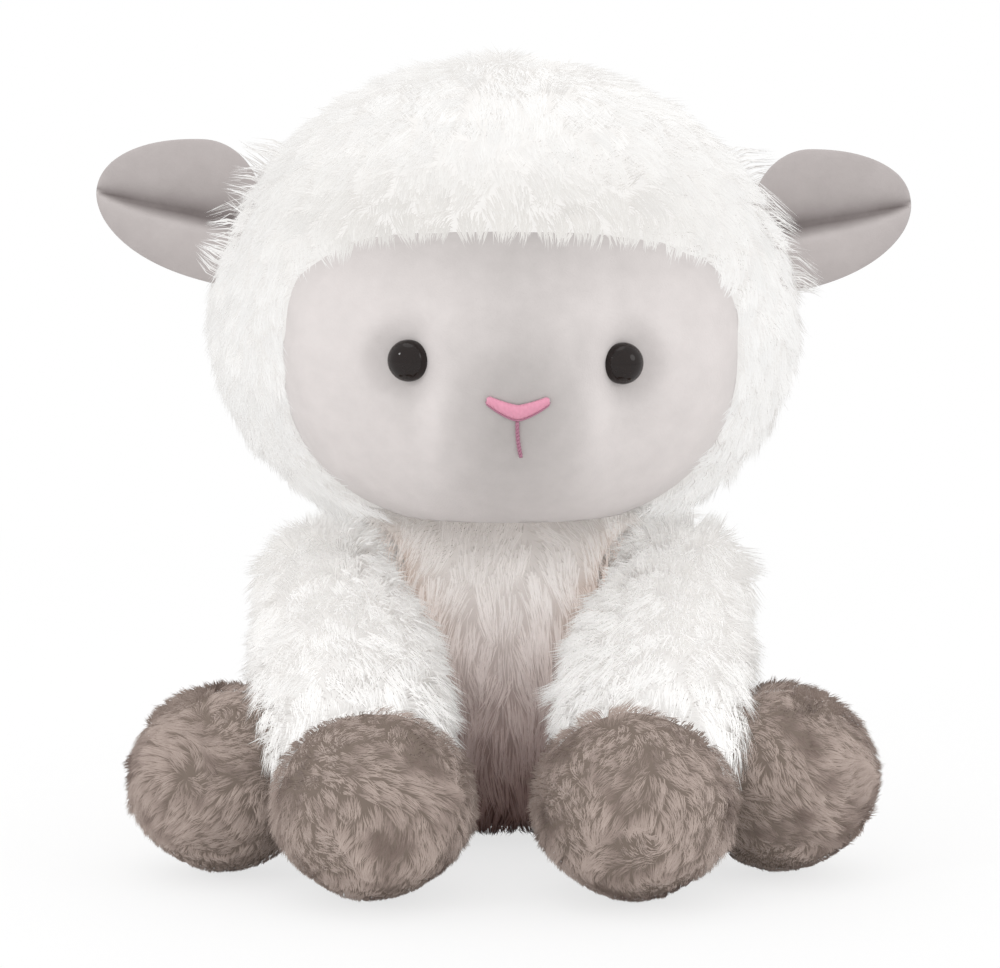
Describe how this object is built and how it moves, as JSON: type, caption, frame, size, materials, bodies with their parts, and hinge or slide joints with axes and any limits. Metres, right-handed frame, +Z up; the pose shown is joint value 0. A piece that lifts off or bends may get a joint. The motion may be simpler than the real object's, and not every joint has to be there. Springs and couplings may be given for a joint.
{
  "type": "plush sheep",
  "caption": "Sitting plush lamb with a long-pile white coat, grey velour face and ears, stitched pink nose, domed eyes and round taupe feet; head, ears, legs and tail give at their seams.",
  "frame": {"origin": "centre of the flat on which the seat rests, on the floor and on the middle plane of the body", "axes": "+Z up, the sheep faces -Y, its own left is +X"},
  "size_m": [0.2605, 0.2166, 0.25],
  "materials": {
    "coat": "long soft cream-white pile",
    "face_velour": "short velour, pale warm grey",
    "ear_velour": "short velour, warm grey",
    "foot_plush": "short soft taupe pile",
    "filling": "polyester fibre filling",
    "pellet_bag": "woven bag of plastic pellets",
    "eye": "glossy dark brown plastic",
    "washer": "moulded white plastic",
    "nose_thread": "pink satin stitch",
    "mouth_thread": "mauve satin stitch"
  },
  "bodies": {
    "torso": {"body_cover": "coat", "body_stuffing": "filling", "bean_bag": "pellet_bag"},
    "head": {"hood_cover": "coat", "face_panel": "face_velour", "head_stuffing": "filling", "eye_left": "eye", "eye_right": "eye", "eye_washer_left": "washer", "eye_washer_right": "washer", "nose_embroidery": "nose_thread", "mouth_embroidery": "mouth_thread"},
    "ear_left": {"ear_front_left": "ear_velour", "ear_back_left": "ear_velour"},
    "ear_right": {"ear_front_right": "ear_velour", "ear_back_right": "ear_velour"},
    "foreleg_left": {"foreleg_cover_left": "coat", "forefoot_cover_left": "foot_plush", "foreleg_stuffing_left": "filling"},
    "hindleg_left": {"hindleg_cover_left": "coat", "hindfoot_cover_left": "foot_plush", "hindleg_stuffing_left": "filling"},
    "foreleg_right": {"foreleg_cover_right": "coat", "forefoot_cover_right": "foot_plush", "foreleg_stuffing_right": "filling"},
    "hindleg_right": {"hindleg_cover_right": "coat", "hindfoot_cover_right": "foot_plush", "hindleg_stuffing_right": "filling"},
    "tail": {"tail_cover": "coat"}
  },
  "joints": [
    {"name": "head_turn", "type": "hinge", "parent": "torso", "child": "head", "pos_m": [0, -0.014, 0.1073], "axis": [0, 0, 1], "range_deg": [-25, 25], "stiffness_Nm_per_rad": 0.3},
    {"name": "ear_fold_left", "type": "hinge", "parent": "head", "child": "ear_left", "pos_m": [0.0878, -0.01541, 0.19898], "axis": [-0.422, -0.0221, 0.9063], "range_deg": [-30, 30], "stiffness_Nm_per_rad": 0.02},
    {"name": "ear_fold_right", "type": "hinge", "parent": "head", "child": "ear_right", "pos_m": [-0.08593, -0.02451, 0.20201], "axis": [0.4534, 0.0238, 0.891], "range_deg": [-30, 30], "stiffness_Nm_per_rad": 0.02},
    {"name": "foreleg_raise_left", "type": "hinge", "parent": "torso", "child": "foreleg_left", "pos_m": [0.051, -0.03, 0.0795], "axis": [-1, 0, 0], "range_deg": [0, 30], "stiffness_Nm_per_rad": 0.1},
    {"name": "foreleg_raise_right", "type": "hinge", "parent": "torso", "child": "foreleg_right", "pos_m": [-0.051, -0.03, 0.0795], "axis": [-1, 0, 0], "range_deg": [0, 30], "stiffness_Nm_per_rad": 0.1},
    {"name": "hindleg_splay_left", "type": "hinge", "parent": "torso", "child": "hindleg_left", "pos_m": [0.056, -0.029, 0.026], "axis": [0, 0, 1], "range_deg": [0, 25], "stiffness_Nm_per_rad": 0.1},
    {"name": "hindleg_splay_right", "type": "hinge", "parent": "torso", "child": "hindleg_right", "pos_m": [-0.056, -0.029, 0.026], "axis": [0, 0, -1], "range_deg": [0, 25], "stiffness_Nm_per_rad": 0.1},
    {"name": "tail_wag", "type": "hinge", "parent": "torso", "child": "tail", "pos_m": [0, 0.0565, 0.044], "axis": [0, 0, 1], "range_deg": [-20, 20], "stiffness_Nm_per_rad": 0.02}
  ]
}
